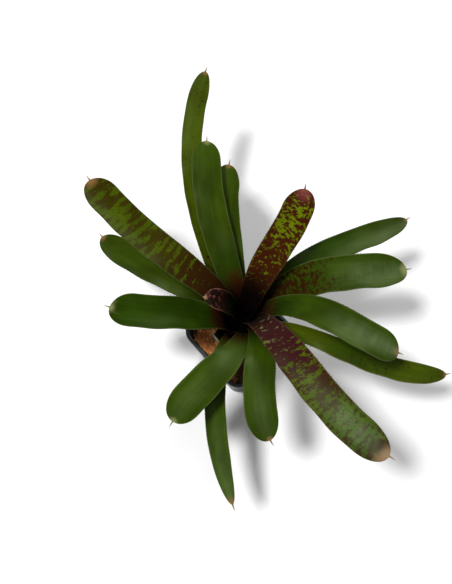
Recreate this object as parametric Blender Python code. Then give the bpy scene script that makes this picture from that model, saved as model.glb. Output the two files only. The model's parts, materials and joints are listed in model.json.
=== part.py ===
"""A neoregelia bromeliad growing in bark and husk in a small square nursery pot.

Sizes are millimetres and degrees, and the meshes are made in metres. +Z is up, the origin is the
middle of the pot's underside, and bearings run anticlockwise from +X as seen from above.

The leaves grow from one short stem in rings, counted outwards from the heart. A ring's sheaths clasp
the stem one step lower than those of the ring inside it and widen round the plant's axis like a
trumpet inside a trumpet, so that no two leaves meet. Further out each blade becomes a strap with its
own bearing, reach and height.
"""

import math
from collections import namedtuple

import bmesh
import bpy
import numpy as np
from mathutils import Matrix, Vector

MM = 0.001
FIT = 0.3

# Pot: a square nursery pot with round corners, a thin wall and a thick lip.
POT_WIDTH = 70.0
POT_HEIGHT = 65.0
POT_BASE_WIDTH = 50.0
POT_TURN = 41.0
POT_CORNER = 11.0
POT_BASE_CORNER = 8.0
POT_WALL = 1.1
POT_FLOOR = 1.6
LIP_HEIGHT = 4.0
LIP_DEPTH = 1.8
LIP_SLOPE = 0.4
LIP_ROUND = 0.7
BASE_ROUND = 1.0
CORNER_STEPS = 7
DRAIN_RADIUS = 3.0
DRAIN_INSET = 8.5
DRAIN_SIDES = 10

# Potting mix: bark chips over a filled pot, with one large piece of husk at the front left.
MIX_TOP = 57.5
BED_RADIUS = 15.0
BED_TOP = 59.6
CHIP_TRIES = 2600
CHIP_LEAST = (8.0, 5.0, 5.0)
CHIP_MOST = (14.0, 9.0, 8.0)
CHIP_TILT = 20.0
CHIP_SINK = 1.6
CHIP_LIFT = 0.8
CHIP_ROUGH = 0.16
CHIP_SPACING = 5.2
CHIP_CLEARANCE = 0.5
CHIP_SEED = 3
HUSK_PLACE = (-25.5, -6.0, 60.0)
HUSK_SIZE = (12.0, 18.0, 13.0)
HUSK_TILT = 12.0
HUSK_ROUGH = 0.1

# Stem: a short cone above the mix, which the leaf sheaths clasp, and a stub that stands in a hole.
PLANT_X = 2.0
STEM_FOOT = 60.0
STEM_FOOT_RADIUS = 12.5
STEM_TOP = 85.0
STEM_TOP_RADIUS = 2.8
STUB_RADIUS = 7.0
STUB_END = 36.0
STEM_ROUND = 1.2
STEM_SIDES = 24

# Leaves: rules that every leaf shares, by its ring.
FIRST_SEAT = 84.0
SEAT_STEP = 3.1
FIRST_THROAT_RADIUS = 7.0
THROAT_RADIUS_STEP = 2.7
FIRST_THROAT_HEIGHT = 119.0
THROAT_HEIGHT_STEP = 3.5
BUD_THROAT = (5.0, 105.0)
SEAT_LEAN = 38.0
FIRST_RISE = 81.0
RISE_STEP = 4.2
MOST_WRAP = 47.0
BUD_WRAP = 112.0
SHEATH_SPREAD = 2.0
SHEATH_THICK = 0.9
BLADE_THICK = 1.0
MARGIN_THICK = 0.65
FREE_FROM = 28.0
FREE_AT = 56.0
CHANNEL_RADIUS = 26.0
BEND_REACH = 0.36
SPINE_LENGTH = 4.0
SPINE_SHARE = 0.045
SPINE_ROOT = 1.2
SPINE_POINT = 0.6
SHEATH_CELLS = 6
BLADE_CELLS = 9
TIP_CELLS = 4
SPINE_CELLS = 1
ACROSS_CELLS = 6

# One leaf. Bearings are at the throat, halfway out and at the tip; reach, height and slope are the tip's.
# Width is the blade's, throat the width where it leaves the sheath, tip the length of the rounded end,
# and swell the share of the blade by which it has its full width.
Leaf = namedtuple(
    "Leaf",
    "name ring bearing mid_bearing tip_bearing reach height slope width throat tip swell",
)
LEAVES = (
    Leaf("leaf_bud", 0, 8, 8, 8, 8, 122, 80, 15, 13, 14, 0.5),
    Leaf("leaf_heart", 1, 172, 178, 179, 29, 141, 5, 17, 15, 10, 0.5),
    Leaf("leaf_mottled_front", 1, -57, -59.5, -53, 140, 165, -14, 24, 15, 22, 0.55),
    Leaf("leaf_mottled_back", 1, 64, 55, 58, 74, 182, 30, 23, 18, 15, 0.5),
    Leaf("leaf_banded_left", 2, 160, 152, 144, 136, 165, 5, 24, 17, 17, 0.5),
    Leaf("leaf_front", 2, -62, -81.5, -81.5, 99, 140, -20, 22, 10, 17, 0.55),
    Leaf("leaf_glossy_right", 3, 7, -17, -22, 109, 145, -30, 23, 13, 17, 0.6),
    Leaf("leaf_front_left", 3, -91, -112, -120, 98, 135, -18, 25, 11, 17, 0.65),
    Leaf("leaf_back", 3, 116, 110, 103, 126, 150, 15, 23, 17, 17, 0.5),
    Leaf("leaf_left", 4, 191, 191, 185, 94, 145, 0, 26, 18, 16, 0.5),
    Leaf("leaf_right", 4, 30, 16, 11, 116, 140, -5, 28, 19, 24, 0.5),
    Leaf("leaf_back_short", 5, 105, 102, 96, 111, 137, 10, 21, 16, 18, 0.5),
    Leaf("leaf_right_low", 5, -25, -24, -16, 153, 96, -16, 17, 11, 34, 0.6),
    Leaf("leaf_front_low", 5, -122, -106, -94, 134, 95, -14, 15, 11, 50, 0.5),
    Leaf("leaf_right_upper", 6, 46, 34, 31, 146, 115, -10, 20, 16, 40, 0.5),
    Leaf("leaf_left_low", 6, 157, 155, 150, 126, 110, 0, 21, 17, 20, 0.5),
    Leaf("leaf_back_long", 7, 122, 111, 99, 192, 147, 14, 16, 16, 22, 0.5),
    Leaf("sheath_old", 7, 221, 219, 217, 27, 103, 60, 15, 15, 5, 0.5),
)

COLOURS = {
    "pot": ((0.03, 0.034, 0.04), 0.5),
    "substrate": ((0.17, 0.075, 0.03), 0.9),
    "stem": ((0.2, 0.14, 0.08), 0.8),
    "leaf_bud": ((0.1, 0.09, 0.05), 0.5),
    "leaf_heart": ((0.2, 0.12, 0.08), 0.5),
    "leaf_mottled_front": ((0.09, 0.035, 0.035), 0.42),
    "leaf_mottled_back": ((0.08, 0.03, 0.02), 0.45),
    "leaf_banded_left": ((0.07, 0.075, 0.015), 0.45),
    "sheath_old": ((0.07, 0.015, 0.02), 0.6),
}
LEAF_COLOUR = ((0.035, 0.085, 0.012), 0.42)


def smooth(value):
    """0 to 1 with no kink at either end."""
    held = np.clip(value, 0.0, 1.0)
    return held * held * (3.0 - 2.0 * held)


def heading(slope, length):
    """A step along a slope, as radius and height."""
    return np.array([math.cos(math.radians(slope)), math.sin(math.radians(slope))]) * length


def bezier(start, end, first_slope, last_slope):
    """Points of a cubic curve that leaves start at one slope and reaches end at another."""
    hold = BEND_REACH * np.linalg.norm(end - start)
    lead = start + heading(first_slope, hold)
    trail = end - heading(last_slope, hold)
    t = np.linspace(0.0, 1.0, 100)[:, None]
    near = start * (1 - t) ** 3 + 3 * lead * t * (1 - t) ** 2
    return near + 3 * trail * t**2 * (1 - t) + end * t**3


def stem_radius(height):
    share = (height - STEM_FOOT) / (STEM_TOP - STEM_FOOT)
    return STEM_FOOT_RADIUS + share * (STEM_TOP_RADIUS - STEM_FOOT_RADIUS)


def spine_length(leaf):
    """A grown leaf has the full spine, a short one a share of its reach."""
    return min(SPINE_LENGTH, SPINE_SHARE * leaf.reach)


def profile(leaf):
    """The leaf's midline as radius and height against length, with the lengths at throat and tip."""
    seat_height = FIRST_SEAT - SEAT_STEP * leaf.ring
    seat = np.array([stem_radius(seat_height) + FIT + 0.6 * SHEATH_THICK, seat_height])
    throat_radius = FIRST_THROAT_RADIUS + THROAT_RADIUS_STEP * leaf.ring
    throat_height = FIRST_THROAT_HEIGHT - THROAT_HEIGHT_STEP * leaf.ring
    throat = np.array([throat_radius, throat_height] if leaf.ring else BUD_THROAT)
    rise = FIRST_RISE - RISE_STEP * leaf.ring
    tip = np.array([leaf.reach, leaf.height], float)
    sheath = bezier(seat, throat, 90.0 - SEAT_LEAN, rise)
    blade = bezier(throat, tip, rise, leaf.slope)
    spine = tip + heading(leaf.slope, spine_length(leaf)) * np.linspace(0.1, 1.0, 8)[:, None]
    line = np.concatenate([sheath, blade[1:], spine])
    length = np.concatenate([[0.0], np.cumsum(np.linalg.norm(np.diff(line, axis=0), axis=1))])
    throat_at = length[len(sheath) - 1]
    tip_at = length[len(sheath) + len(blade) - 2]
    return length, line[:, 0], line[:, 1], throat_at, tip_at


def stations(leaf, throat_at, tip_at):
    """Lengths of the rows of points: even along sheath and blade, closer round the tip."""
    sheath = np.linspace(0.0, throat_at, SHEATH_CELLS + 1)
    blade = np.linspace(throat_at, tip_at - leaf.tip, BLADE_CELLS + 1)[1:]
    turn = np.radians(np.linspace(0.0, 87.0, TIP_CELLS + 1)[1:])
    tip = tip_at - leaf.tip + leaf.tip * np.sin(turn)
    spine = np.linspace(tip_at, tip_at + spine_length(leaf), SPINE_CELLS + 1)[1:]
    return np.concatenate([sheath, blade, tip, spine])


def half_widths(leaf, at, radius, throat_at, tip_at):
    up_sheath = smooth((at / throat_at - 0.35) / 0.65)
    sheath = leaf.throat * (SHEATH_SPREAD + (1 - SHEATH_SPREAD) * up_sheath)
    out = (at - throat_at) / (tip_at - throat_at)
    blade = leaf.throat + (leaf.width - leaf.throat) * smooth(out / leaf.swell)
    width = np.where(at < throat_at, sheath, blade)
    wrap = MOST_WRAP if leaf.ring else BUD_WRAP
    width = np.minimum(width, 2 * radius * math.radians(wrap))
    into_tip = np.clip((at - tip_at + leaf.tip) / leaf.tip, 0.0, 1.0)
    width = np.maximum(width * np.sqrt(1 - into_tip**2), SPINE_ROOT)
    along_spine = np.clip((at - tip_at) / spine_length(leaf), 0.0, 1.0)
    return 0.5 * (width + (SPINE_POINT - SPINE_ROOT) * along_spine)


def unit(vectors):
    return vectors / np.linalg.norm(vectors, axis=-1, keepdims=True)


def bearings(leaf, radius, throat_radius):
    """The midline's bearing in radians: a parabola through the three given bearings."""
    out = np.clip((radius - throat_radius) / (leaf.reach - throat_radius), 0.0, 1.1)
    first, middle, last = leaf.bearing, leaf.mid_bearing, leaf.tip_bearing
    bend = 4 * middle - 3 * first - last
    turn = 2 * first + 2 * last - 4 * middle
    return np.radians(first + bend * out + turn * out * out)


def leaf_sheet(leaf, at, across):
    """Points of the leaf's middle surface, one row for each length and one column across."""
    length, radii, heights, throat_at, tip_at = profile(leaf)
    throat_radius = np.interp(throat_at, length, radii)

    def midline(where):
        radius = np.interp(where, length, radii)
        bearing = bearings(leaf, radius, throat_radius)
        height = np.interp(where, length, heights)
        points = np.stack([radius * np.cos(bearing), radius * np.sin(bearing), height], axis=-1)
        return radius, bearing, points

    radius, bearing, centre = midline(at)
    ahead = unit(midline(at + 0.5)[2] - midline(at - 0.5)[2])
    level = np.stack([-np.sin(bearing), np.cos(bearing), np.zeros_like(bearing)], axis=-1)
    side = unit(level - ahead * np.sum(level * ahead, axis=-1, keepdims=True))
    inward = np.cross(ahead, side)
    offset = half_widths(leaf, at, radius, throat_at, tip_at)[:, None] * across[None, :]
    turn = offset / CHANNEL_RADIUS
    strap = (
        centre[:, None, :]
        + side[:, None, :] * (CHANNEL_RADIUS * np.sin(turn))[..., None]
        + inward[:, None, :] * (CHANNEL_RADIUS * (1 - np.cos(turn)))[..., None]
    )
    angle = bearing[:, None] + offset / radius[:, None]
    trumpet = np.stack(
        [
            radius[:, None] * np.cos(angle),
            radius[:, None] * np.sin(angle),
            np.broadcast_to(centre[:, None, 2], angle.shape),
        ],
        axis=-1,
    )
    free = smooth((radius - FREE_FROM) / (FREE_AT - FREE_FROM))[:, None, None]
    return trumpet + (strap - trumpet) * free


def leaf_thickness(leaf, at, across):
    throat_at, tip_at = profile(leaf)[3:]
    blade = BLADE_THICK + (MARGIN_THICK - BLADE_THICK) * across[None, :] ** 2
    share = smooth((at - throat_at) / 20.0)[:, None]
    thick = SHEATH_THICK + (blade - SHEATH_THICK) * share
    narrow = smooth((at - tip_at + 0.5 * leaf.tip) / (0.5 * leaf.tip))[:, None]
    return thick + (SPINE_POINT - thick) * narrow


def leaf_solid(sheet, thick):
    """Vertices and faces of the sheet thickened both ways, split alike on its two faces."""
    rows, columns = sheet.shape[:2]
    upward = unit(np.cross(np.gradient(sheet, axis=0), np.gradient(sheet, axis=1)))
    above = sheet + upward * thick[..., None] / 2
    below = sheet - upward * thick[..., None] / 2
    points = np.concatenate([above.reshape(-1, 3), below.reshape(-1, 3)])
    under = rows * columns

    def edge(first, second):
        return [
            (second, first, first + under),
            (second, first + under, second + under),
        ]

    faces = []
    for row in range(rows - 1):
        for column in range(columns - 1):
            a = row * columns + column
            b = a + columns
            c = b + 1
            d = a + 1
            faces += [(a, b, c), (a, c, d)]
            faces += [(a + under, c + under, b + under), (a + under, d + under, c + under)]
        start = row * columns
        faces += edge(start, start + columns)
        faces += edge(start + 2 * columns - 1, start + columns - 1)
    last = (rows - 1) * columns
    for column in range(columns - 1):
        faces += edge(column + 1, column)
        faces += edge(last + column, last + column + 1)
    return points, faces


def finish(name):
    colour, roughness = COLOURS.get(name, LEAF_COLOUR)
    material = bpy.data.materials.new(name)
    material.use_nodes = True
    shader = material.node_tree.nodes["Principled BSDF"]
    shader.inputs["Base Color"].default_value = (*colour, 1.0)
    shader.inputs["Roughness"].default_value = roughness
    return material


def make_object(name, points, faces, around=(0.0, 0.0, 0.0)):
    """An object from millimetre points, placed at the point that they are measured from."""
    mesh = bpy.data.meshes.new(name)
    mesh.from_pydata((np.asarray(points, float) * MM).tolist(), [], [tuple(f) for f in faces])
    mesh.update()
    made = bpy.data.objects.new(name, mesh)
    made.location = [value * MM for value in around]
    bpy.context.scene.collection.objects.link(made)
    return made


def make_leaf(leaf):
    throat_at, tip_at = profile(leaf)[3:]
    at = stations(leaf, throat_at, tip_at)
    across = np.linspace(-1.0, 1.0, ACROSS_CELLS + 1)
    sheet = leaf_sheet(leaf, at, across)
    points, faces = leaf_solid(sheet, leaf_thickness(leaf, at, across))
    made = make_object(leaf.name, points, faces, (PLANT_X, 0.0, 0.0))
    made.data.materials.append(finish(leaf.name))
    made.data.set_sharp_from_angle(angle=math.radians(50))
    return made


def turned(points, degrees):
    """Points turned about the Z axis."""
    turn = math.radians(degrees)
    x, y, z = np.asarray(points, float).T
    return np.column_stack(
        [x * math.cos(turn) - y * math.sin(turn), x * math.sin(turn) + y * math.cos(turn), z]
    )


def rounded_square(half, corner, height):
    """A square ring with round corners, anticlockwise, turned as the pot stands."""
    ring = []
    for quarter in range(4):
        for step in range(CORNER_STEPS):
            angle = math.radians(90.0 * (quarter + step / (CORNER_STEPS - 1)))
            turn = math.radians(90.0 * quarter + 45.0)
            x = (half - corner) * math.copysign(1.0, math.cos(turn)) + corner * math.cos(angle)
            y = (half - corner) * math.copysign(1.0, math.sin(turn)) + corner * math.sin(angle)
            ring.append((x, y, height))
    return turned(ring, POT_TURN)


def pot_half(height):
    """Half the pot's outer width at a height, below the lip."""
    share = height / POT_HEIGHT
    base = 0.5 * POT_BASE_WIDTH
    return base + share * (0.5 * POT_WIDTH - LIP_DEPTH - base)


def pot_corner(height):
    return POT_BASE_CORNER + (POT_CORNER - POT_BASE_CORNER) * height / POT_HEIGHT


def lofted(name, rings, around=(0.0, 0.0, 0.0)):
    """One closed body through rings of equal count, the first and last of them filled."""
    count = len(rings[0])
    points = [point for ring in rings for point in ring]
    faces = [tuple(reversed(range(count)))]
    for level in range(len(rings) - 1):
        for step in range(count):
            following = (step + 1) % count
            low, high = level * count, (level + 1) * count
            faces.append((low + step, low + following, high + following, high + step))
    top = (len(rings) - 1) * count
    faces.append(tuple(range(top, top + count)))
    return make_object(name, points, faces, around)


def make_pot():
    """The outer skin up to the lip, over it and down the inner wall to the floor."""
    lip_half = 0.5 * POT_WIDTH
    under_lip = POT_HEIGHT - LIP_HEIGHT
    outside = [
        (0.0, pot_half(0.0) - BASE_ROUND),
        (BASE_ROUND, pot_half(BASE_ROUND)),
        (under_lip, pot_half(under_lip)),
        (under_lip + LIP_SLOPE, lip_half - LIP_ROUND),
        (under_lip + LIP_SLOPE + LIP_ROUND, lip_half),
        (POT_HEIGHT - LIP_ROUND, lip_half),
        (POT_HEIGHT, lip_half - LIP_ROUND),
    ]
    inside = [
        (POT_HEIGHT, pot_half(POT_HEIGHT) - POT_WALL + LIP_ROUND),
        (POT_HEIGHT - LIP_ROUND, pot_half(POT_HEIGHT) - POT_WALL),
        (POT_FLOOR, pot_half(POT_FLOOR) - POT_WALL),
    ]
    rings = []
    for height, half in outside + inside:
        shrink = half - pot_half(height)
        rings.append(rounded_square(half, pot_corner(height) + shrink, height))
    pot = lofted("pot", rings)
    pot.data.materials.append(finish("pot"))
    inset = pot_half(0.0) - DRAIN_INSET
    places = [(x * inset, y * inset, 0.5 * POT_FLOOR) for x in (-1, 1) for y in (-1, 1)]
    for number, place in enumerate(turned(places, POT_TURN)):
        drill = bpy.data.meshes.new("drain")
        shape = bmesh.new()
        bmesh.ops.create_cone(
            shape,
            cap_ends=True,
            segments=DRAIN_SIDES,
            radius1=DRAIN_RADIUS * MM,
            radius2=DRAIN_RADIUS * MM,
            depth=4 * POT_FLOOR * MM,
        )
        shape.to_mesh(drill)
        shape.free()
        cutter = bpy.data.objects.new(f"drain_{number}", drill)
        cutter.location = place * MM
        cutter.hide_render = True
        cutter.display_type = "WIRE"
        bpy.context.scene.collection.objects.link(cutter)
        hole = pot.modifiers.new(f"drain_{number}", "BOOLEAN")
        hole.operation = "DIFFERENCE"
        hole.object = cutter
    return pot


def round_ring(radius, height):
    turns = [2 * math.pi * step / STEM_SIDES for step in range(STEM_SIDES)]
    return [(radius * math.cos(turn), radius * math.sin(turn), height) for turn in turns]


def make_stem():
    rings = [
        round_ring(STUB_RADIUS - 2 * STEM_ROUND, STUB_END),
        round_ring(STUB_RADIUS, STUB_END + 2 * STEM_ROUND),
        round_ring(STUB_RADIUS, STEM_FOOT),
        round_ring(STEM_FOOT_RADIUS, STEM_FOOT),
        round_ring(STEM_TOP_RADIUS, STEM_TOP),
        round_ring(STEM_TOP_RADIUS - STEM_ROUND, STEM_TOP + STEM_ROUND),
    ]
    stem = lofted("stem", rings, (PLANT_X, 0.0, 0.0))
    stem.data.materials.append(finish("stem"))
    return stem


def mix_half(height):
    return pot_half(height) - POT_WALL - FIT


def make_block(size, place, turn, tilt, rough, draw):
    """A rough block: a cube with its corners moved by a seeded draw."""
    shape = bmesh.new()
    bmesh.ops.create_cube(shape, size=1.0)
    for corner in shape.verts:
        corner.co += Vector(draw.uniform(-rough, rough, 3))
    spin = Matrix.Rotation(math.radians(turn), 4, "Z")
    lean = Matrix.Rotation(math.radians(tilt), 4, "X")
    placed = Matrix.Translation(place) @ spin @ lean @ Matrix.Diagonal((*size, 1.0))
    bmesh.ops.transform(shape, matrix=placed, verts=shape.verts)
    points = np.array([corner.co[:] for corner in shape.verts])
    faces = [[corner.index for corner in face.verts] for face in shape.faces]
    shape.free()
    return points, faces


def lies_clear(points):
    """Whether a block lies inside the pot's wall and outside the bed that the stem stands in."""
    held = np.abs(turned(points, -POT_TURN)[:, :2])
    limit = mix_half(MIX_TOP) - CHIP_CLEARANCE
    past = np.maximum(held - (limit - POT_CORNER), 0.0)
    from_stem = np.hypot(points[:, 0] - PLANT_X, points[:, 1])
    inside = np.hypot(past[:, 0], past[:, 1]) < POT_CORNER
    return bool(inside.all() and (from_stem > BED_RADIUS + CHIP_CLEARANCE).all())


def chip_blocks():
    """The husk and the chips: seeded blocks, kept where they lie clear and apart."""
    draw = np.random.default_rng(CHIP_SEED)
    blocks = [make_block(HUSK_SIZE, HUSK_PLACE, POT_TURN, HUSK_TILT, HUSK_ROUGH, draw)]
    centres = [np.array(HUSK_PLACE[:2])]
    reach = mix_half(MIX_TOP) * math.sqrt(2.0)
    for _ in range(CHIP_TRIES):
        centre = draw.uniform(-reach, reach, 2)
        size = draw.uniform(CHIP_LEAST, CHIP_MOST)
        turn = draw.uniform(0.0, 360.0)
        tilt = draw.uniform(-CHIP_TILT, CHIP_TILT)
        place = (*centre, MIX_TOP + draw.uniform(-CHIP_SINK, CHIP_LIFT))
        block = make_block(size, place, turn, tilt, CHIP_ROUGH, draw)
        apart = min(math.dist(centre, other) for other in centres)
        if apart > CHIP_SPACING and lies_clear(block[0]):
            blocks.append(block)
            centres.append(centre)
    return blocks


def add_boolean(target, name, operation):
    modifier = target.modifiers.new(name, "BOOLEAN")
    modifier.operation = operation
    modifier.solver = "MANIFOLD"
    return modifier


def make_mix():
    """The filled pot's content: a plain body with a hole for the stem, and chips fused to its top."""
    floor = POT_FLOOR + FIT
    rings = [
        rounded_square(mix_half(floor) - 0.5, pot_corner(floor) - POT_WALL, floor),
        rounded_square(mix_half(MIX_TOP), pot_corner(MIX_TOP) - POT_WALL, MIX_TOP),
    ]
    mix = lofted("substrate", rings)
    bed_rings = [round_ring(BED_RADIUS, 0.7 * MIX_TOP), round_ring(BED_RADIUS - 1.0, BED_TOP)]
    hole = STUB_RADIUS + FIT
    drill_rings = [round_ring(hole, STUB_END - FIT), round_ring(hole, 1.5 * MIX_TOP)]
    bed = lofted("bed", bed_rings, (PLANT_X, 0.0, 0.0))
    drill = lofted("drill", drill_rings, (PLANT_X, 0.0, 0.0))
    chips = bpy.data.collections.new("chips")
    bpy.context.scene.collection.children.link(chips)
    chips.objects.link(bed)
    for points, faces in chip_blocks():
        chips.objects.link(make_object("chip", points, faces))
    fuse = add_boolean(mix, "chips", "UNION")
    fuse.operand_type = "COLLECTION"
    fuse.collection = chips
    add_boolean(mix, "stem_hole", "DIFFERENCE").object = drill
    bpy.context.view_layer.update()
    evaluated = mix.evaluated_get(bpy.context.evaluated_depsgraph_get())
    fused = bpy.data.meshes.new_from_object(evaluated)
    mix.modifiers.clear()
    mix.data = fused
    for helper in [*chips.objects, drill]:
        bpy.data.objects.remove(helper)
    bpy.data.collections.remove(chips)
    mix.data.materials.clear()
    mix.data.materials.append(finish("substrate"))
    return mix


for old in list(bpy.data.objects):
    bpy.data.objects.remove(old)
make_pot()
make_mix()
make_stem()
for leaf in LEAVES:
    make_leaf(leaf)
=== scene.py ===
"""The looks of a neoregelia bromeliad in a small square nursery pot.

The leaves are built again on the same rules and the same table as the solids, with finer steps,
thinner margins and marginal teeth. Lengths are millimetres and angles are degrees up to the point
where a mesh is made; from there on, and in every node tree, lengths are metres. Bearings run
anticlockwise from +X as seen from above.
"""

import json
import math
from collections import namedtuple

import bmesh
import bpy
import numpy as np
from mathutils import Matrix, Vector, noise

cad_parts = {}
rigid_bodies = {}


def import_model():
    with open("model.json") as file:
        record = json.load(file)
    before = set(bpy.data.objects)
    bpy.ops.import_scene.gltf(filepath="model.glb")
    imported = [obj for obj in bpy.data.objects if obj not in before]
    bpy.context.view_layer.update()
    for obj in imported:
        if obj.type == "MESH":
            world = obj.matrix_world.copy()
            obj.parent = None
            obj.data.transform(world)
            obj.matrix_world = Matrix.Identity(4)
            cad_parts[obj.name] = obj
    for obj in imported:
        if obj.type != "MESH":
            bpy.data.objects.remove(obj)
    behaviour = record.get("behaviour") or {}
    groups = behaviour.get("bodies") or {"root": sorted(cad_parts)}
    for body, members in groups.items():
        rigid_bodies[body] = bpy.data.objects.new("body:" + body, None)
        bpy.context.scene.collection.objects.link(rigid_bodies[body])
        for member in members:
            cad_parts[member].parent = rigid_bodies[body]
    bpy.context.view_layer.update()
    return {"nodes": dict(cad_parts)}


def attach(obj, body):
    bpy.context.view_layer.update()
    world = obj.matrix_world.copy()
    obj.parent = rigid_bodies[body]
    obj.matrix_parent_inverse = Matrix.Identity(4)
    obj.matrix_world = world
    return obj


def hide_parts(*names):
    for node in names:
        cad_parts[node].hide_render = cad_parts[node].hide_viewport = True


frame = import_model()
scene = bpy.context.scene

MM = 0.001
FIT = 0.3
PLANT_X = 2.0

# Stem and leaf rules, as in the solids.
STEM_FOOT = 60.0
STEM_FOOT_RADIUS = 12.5
STEM_TOP = 85.0
STEM_TOP_RADIUS = 2.8
FIRST_SEAT = 84.0
SEAT_STEP = 3.1
FIRST_THROAT_RADIUS = 7.0
THROAT_RADIUS_STEP = 2.7
FIRST_THROAT_HEIGHT = 119.0
THROAT_HEIGHT_STEP = 3.5
BUD_THROAT = (5.0, 105.0)
SEAT_LEAN = 38.0
SEAT_CLEAR = 0.54
FIRST_RISE = 81.0
RISE_STEP = 4.2
MOST_WRAP = 47.0
BUD_WRAP = 112.0
SHEATH_SPREAD = 2.0
SHEATH_SPREAD_END = 0.35
FREE_FROM = 28.0
FREE_AT = 56.0
CHANNEL_RADIUS = 26.0
BEND_REACH = 0.36
SPINE_LENGTH = 4.0
SPINE_SHARE = 0.045
SPINE_ROOT = 1.2

# Leaf values that only the looks have. The margins lie a little inside the solids', because the
# finer curves would otherwise pass them.
SHEATH_THICK = 0.8
BLADE_THICK = 0.9
MARGIN_THICK = 0.38
MARGIN_INSET = 0.15
THINNED_OVER = 20.0
SPINE_POINT = 0.22
CURVE_POINTS = 100
SPINE_POINTS = 8
SHEATH_CELLS = 26
BLADE_CELLS = 84
TIP_CELLS = 16
LAST_TIP_TURN = 87.0
SPINE_CELLS = 5
ACROSS_CELLS = 24
PATTERN_APART = 400.0

# Teeth and waves along the margins. A stretch is a pair of shares of the blade, from its throat at 0
# to its tip at 1. The teeth stay short on the old stub and on the leaf that reaches furthest left.
TOOTH_LEAN = 0.7
TOOTH_SIZES = (0.6, 1.1)
TOOTHED = (0.03, 0.985)
TEETH_SHRINK = (0.6, 0.94)
SMALLEST_TOOTH = 0.2
SHORT_TOOTH = 0.0001
SHORT_TOOTHED = ("sheath_old", "leaf_banded_left")
MARGIN_LINE = 0.985
WAVES_RISE = (0.15, 0.4)
WAVES_FALL = (1.0, 0.85)
WAVE_SHIFT = 1.3
WELD = 0.000002

# One leaf. Bearings are at the throat, halfway out and at the tip; reach, height and slope are the
# tip's. Width is the blade's, throat the width where it leaves the sheath, tip the length of the
# rounded end, and swell the share of the blade by which it has its full width.
Leaf = namedtuple(
    "Leaf",
    "name ring bearing mid_bearing tip_bearing reach height slope width throat tip swell",
)
LEAVES = (
    Leaf("leaf_bud", 0, 8, 8, 8, 8, 122, 80, 15, 13, 14, 0.5),
    Leaf("leaf_heart", 1, 172, 178, 179, 29, 141, 5, 17, 15, 10, 0.5),
    Leaf("leaf_mottled_front", 1, -57, -59.5, -53, 140, 165, -14, 24, 15, 22, 0.55),
    Leaf("leaf_mottled_back", 1, 64, 55, 58, 74, 182, 30, 23, 18, 15, 0.5),
    Leaf("leaf_banded_left", 2, 160, 152, 144, 136, 165, 5, 24, 17, 17, 0.5),
    Leaf("leaf_front", 2, -62, -81.5, -81.5, 99, 140, -20, 22, 10, 17, 0.55),
    Leaf("leaf_glossy_right", 3, 7, -17, -22, 109, 145, -30, 23, 13, 17, 0.6),
    Leaf("leaf_front_left", 3, -91, -112, -120, 98, 135, -18, 25, 11, 17, 0.65),
    Leaf("leaf_back", 3, 116, 110, 103, 126, 150, 15, 23, 17, 17, 0.5),
    Leaf("leaf_left", 4, 191, 191, 185, 94, 145, 0, 26, 18, 16, 0.5),
    Leaf("leaf_right", 4, 30, 16, 11, 116, 140, -5, 28, 19, 24, 0.5),
    Leaf("leaf_back_short", 5, 105, 102, 96, 111, 137, 10, 21, 16, 18, 0.5),
    Leaf("leaf_right_low", 5, -25, -24, -16, 153, 96, -16, 17, 11, 34, 0.6),
    Leaf("leaf_front_low", 5, -122, -106, -94, 134, 95, -14, 15, 11, 50, 0.5),
    Leaf("leaf_right_upper", 6, 46, 34, 31, 146, 115, -10, 20, 16, 40, 0.5),
    Leaf("leaf_left_low", 6, 157, 155, 150, 126, 110, 0, 21, 17, 20, 0.5),
    Leaf("leaf_back_long", 7, 122, 111, 99, 192, 147, 14, 16, 16, 22, 0.5),
    Leaf("sheath_old", 7, 221, 219, 217, 27, 103, 60, 15, 15, 5, 0.5),
)

# Leaf colours, as light reflected in red, green and blue.
DEEP_GREEN = (0.013, 0.03, 0.0008)
GREEN = (0.0205, 0.0385, 0.001)
MOSS = (0.019, 0.033, 0.0008)
OLIVE = (0.032, 0.048, 0.0008)
GREY_GREEN = (0.034, 0.06, 0.007)
FLECK_GREEN = (0.072, 0.1, 0.0015)
BAND_GREEN = (0.042, 0.06, 0.001)
PALE_FLECK = (0.13, 0.15, 0.055)
PALE_TIP = (0.17, 0.17, 0.065)
CREAM = (0.38, 0.33, 0.18)
EDGE_GREEN = (0.06, 0.085, 0.015)
EDGE_RED = (0.08, 0.025, 0.01)
# Painted shade: the near black of the shaded cup, laid on the bud, the heart, the old sheath, the cup's
# inner walls and the stem's top.
CUP_SHADE = (0.002, 0.001, 0.001)
MAROON = (0.033, 0.004, 0.002)
DULL_MAROON = (0.02, 0.0055, 0.001)
WINE = (0.026, 0.003, 0.006)
ROSE = (0.14, 0.03, 0.03)
RUST = (0.08, 0.02, 0.003)
BROWN_TIP = (0.17, 0.09, 0.03)
PINK_TIP = (0.25, 0.15, 0.085)
# Pale bloom of fine scales, also laid along the middle of the blade as a painted sheen.
BLOOM_AND_SHEEN = (0.22, 0.27, 0.16)
UNDERSIDE = (0.065, 0.08, 0.035)
TOOTH_BROWN = (0.04, 0.018, 0.008)
LEAF_SHINE = 0.2
SHINE_TINT = (0.75, 1.0, 0.4, 1.0)
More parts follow.
